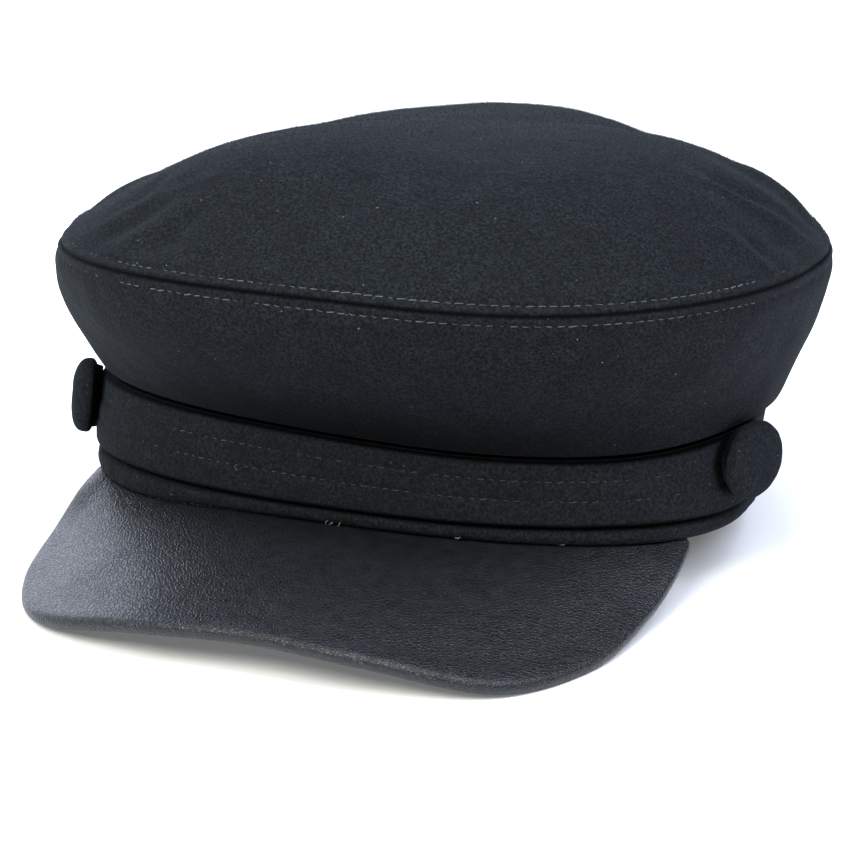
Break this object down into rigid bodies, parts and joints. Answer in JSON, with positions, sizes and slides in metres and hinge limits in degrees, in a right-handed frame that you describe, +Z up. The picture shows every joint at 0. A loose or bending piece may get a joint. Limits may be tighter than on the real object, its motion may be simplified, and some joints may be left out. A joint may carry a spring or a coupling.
{
  "type": "breton fisherman cap",
  "caption": "Soft wool fisherman cap with a domed crown, an upright band, a strap held by covered buttons across the front, and a curved leather peak; open below for a head.",
  "frame": {"origin": "on the table under the middle of the cap's box", "axes": "+Z up, +Y towards the back of the cap, so that the peak points along -Y, and +X towards the wearer's left"},
  "size_m": [0.2234, 0.2534, 0.1172],
  "materials": {
    "crown_wool": "napped melton wool, navy black, matt with a soft fuzz",
    "band_wool": "napped melton wool, navy black, topstitched",
    "button_wool": "napped melton wool drawn over a domed button",
    "peak_leather": "black pebbled leather with a satin gloss"
  },
  "bodies": {
    "root": {"crown_tip": "crown_wool", "crown_side": "crown_wool", "headband": "band_wool", "front_strap": "band_wool", "button_left": "button_wool", "button_right": "button_wool", "peak": "peak_leather"}
  },
  "joints": []
}
